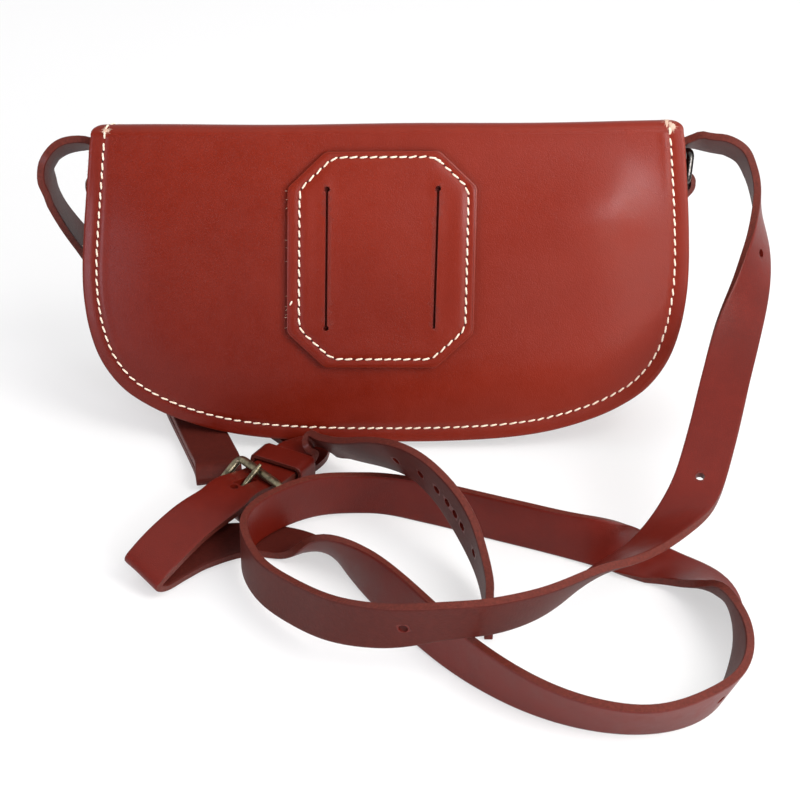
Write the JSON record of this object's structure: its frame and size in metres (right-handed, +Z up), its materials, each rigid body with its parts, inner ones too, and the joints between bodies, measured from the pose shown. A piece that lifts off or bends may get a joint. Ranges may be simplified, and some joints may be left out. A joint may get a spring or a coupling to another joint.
{
  "type": "leather handbag",
  "caption": "Flat leather bag with a flap over its top, D-ring corners, a long buckled strap and an octagonal belt patch on its back",
  "frame": {"origin": "middle of the bag's footprint on the floor, the straps left out", "axes": "+X to the right of someone who faces the patched back, +Y away from them through the bag's thickness, +Z up"},
  "size_m": [0.3083, 0.2954, 0.1328],
  "materials": {
    "panel_leather": "waxed vegetable-tanned grain, satin",
    "strap_leather": "waxed strap leather, satin",
    "linen_thread": "waxed linen thread",
    "dark_ring_metal": "dark plated steel, polished",
    "aged_brass": "aged brass, dull"
  },
  "bodies": {
    "bag": {"back_panel": "panel_leather", "front_panel": "panel_leather", "gusset": "panel_leather", "belt_patch": "panel_leather", "back_seam_thread": "linen_thread", "front_seam_thread": "linen_thread", "patch_thread": "linen_thread", "left_ring_tab": "strap_leather", "right_ring_tab": "strap_leather", "left_tab_rivet": "dark_ring_metal", "right_tab_rivet": "dark_ring_metal", "long_strap": "strap_leather", "short_strap": "strap_leather", "buckle_frame": "aged_brass", "closure_stud": "aged_brass", "stud_screw": "aged_brass"},
    "flap_top": {"flap_top": "panel_leather"},
    "flap_front": {"flap_front": "panel_leather"},
    "right_ring": {"right_d_ring": "dark_ring_metal"},
    "left_ring": {"left_d_ring": "dark_ring_metal"},
    "prong": {"buckle_prong": "aged_brass"},
    "keeper": {"keeper": "strap_leather"}
  },
  "joints": [
    {"name": "flap_hinge", "type": "hinge", "parent": "bag", "child": "flap_top", "pos_m": [0, 0.00015, 0.1293], "axis": [1, 0, 0], "range_deg": [0, 100]},
    {"name": "flap_fold", "type": "hinge", "parent": "flap_top", "child": "flap_front", "pos_m": [0, 0.03306, 0.11294], "axis": [1, 0, 0], "range_deg": [0, 70]},
    {"name": "right_ring_swing", "type": "hinge", "parent": "bag", "child": "right_ring", "pos_m": [0.12698, 0.012, 0.101], "axis": [0, 0.8988, -0.4384], "range_deg": [-4, 4]},
    {"name": "left_ring_swing", "type": "hinge", "parent": "bag", "child": "left_ring", "pos_m": [-0.12698, 0.012, 0.101], "axis": [0, 0.8988, -0.4384], "range_deg": [-4, 4]},
    {"name": "prong_hinge", "type": "hinge", "parent": "bag", "child": "prong", "pos_m": [-0.05853, -0.08625, 0.0054], "axis": [0.6293, -0.7771, 0], "range_deg": [0, 6]},
    {"name": "keeper_slide", "type": "slide", "parent": "bag", "child": "keeper", "axis": [0.5, 0.866, 0], "range_m": [-0.0015, 0.0015]}
  ],
  "couplings": [
    {"joint": "flap_fold", "follows": "flap_hinge", "ratio": 0.7}
  ]
}
